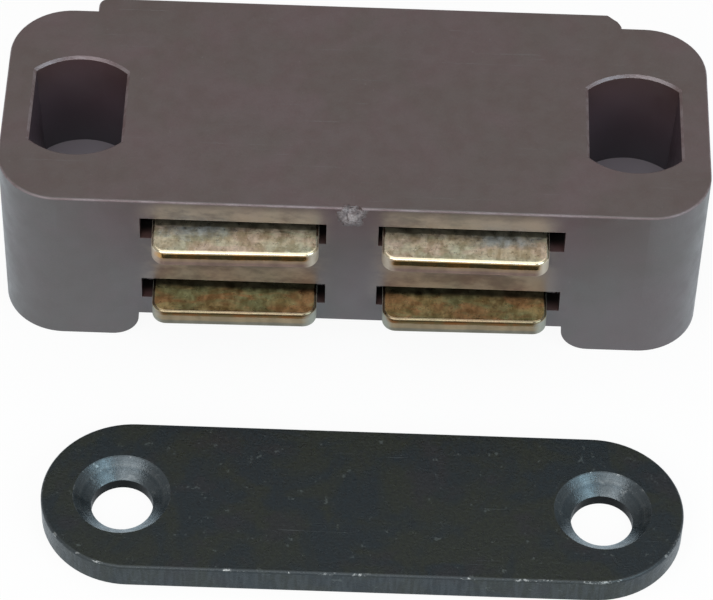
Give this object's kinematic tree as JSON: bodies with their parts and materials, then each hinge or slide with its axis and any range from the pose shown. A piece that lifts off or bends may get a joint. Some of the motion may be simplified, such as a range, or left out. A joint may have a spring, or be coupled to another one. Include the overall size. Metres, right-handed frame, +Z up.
{
  "type": "magnetic catch",
  "caption": "Magnetic door catch: screw-down moulded housing whose floating magnet packs show steel pole plates at the front, with its countersunk steel strike plate.",
  "frame": {"origin": "on the mounting plane, midway between the two screw axes of the housing", "axes": "+X along the housing to the right seen from the poles' side, +Y from the poles to the back, +Z up out of the mounting plane"},
  "size_m": [0.0606, 0.0513, 0.0172],
  "materials": {
    "housing_plastic": "moulded brown plastic, satin, lightly scuffed",
    "cover_plastic": "moulded brown plastic, satin",
    "ferrite": "dark sintered ferrite, ground faces",
    "yellow_zinc_steel": "yellow passivated zinc plate, mottled",
    "blackened_steel": "chemically blackened steel, satin, worn at the edges"
  },
  "bodies": {
    "housing": {"housing": "housing_plastic", "base_cover": "cover_plastic", "strike_plate": "blackened_steel"},
    "left_pack": {"left_magnet": "ferrite"},
    "left_upper_plate": {"left_upper_pole_plate": "yellow_zinc_steel"},
    "left_lower_plate": {"left_lower_pole_plate": "yellow_zinc_steel"},
    "right_pack": {"right_magnet": "ferrite"},
    "right_upper_plate": {"right_upper_pole_plate": "yellow_zinc_steel"},
    "right_lower_plate": {"right_lower_pole_plate": "yellow_zinc_steel"}
  },
  "joints": [
    {"name": "left_pack_float", "type": "slide", "parent": "housing", "child": "left_pack", "axis": [0, 1, 0], "range_m": [-0.0005, 0.0008]},
    {"name": "left_upper_swivel", "type": "hinge", "parent": "left_pack", "child": "left_upper_plate", "pos_m": [-0.0101, 0.0007, 0.0135], "axis": [0, 0, 1], "range_deg": [-2.6, 1.2]},
    {"name": "left_lower_swivel", "type": "hinge", "parent": "left_pack", "child": "left_lower_plate", "pos_m": [-0.0101, 0.0007, 0.0059], "axis": [0, 0, 1], "range_deg": [-2.2, 1.6]},
    {"name": "right_pack_float", "type": "slide", "parent": "housing", "child": "right_pack", "axis": [0, 1, 0], "range_m": [-0.0005, 0.0008]},
    {"name": "right_upper_swivel", "type": "hinge", "parent": "right_pack", "child": "right_upper_plate", "pos_m": [0.00965, 0.0007, 0.0135], "axis": [0, 0, 1], "range_deg": [-1.3, 2.5]},
    {"name": "right_lower_swivel", "type": "hinge", "parent": "right_pack", "child": "right_lower_plate", "pos_m": [0.00965, 0.0007, 0.0059], "axis": [0, 0, 1], "range_deg": [-2.2, 1.6]}
  ]
}
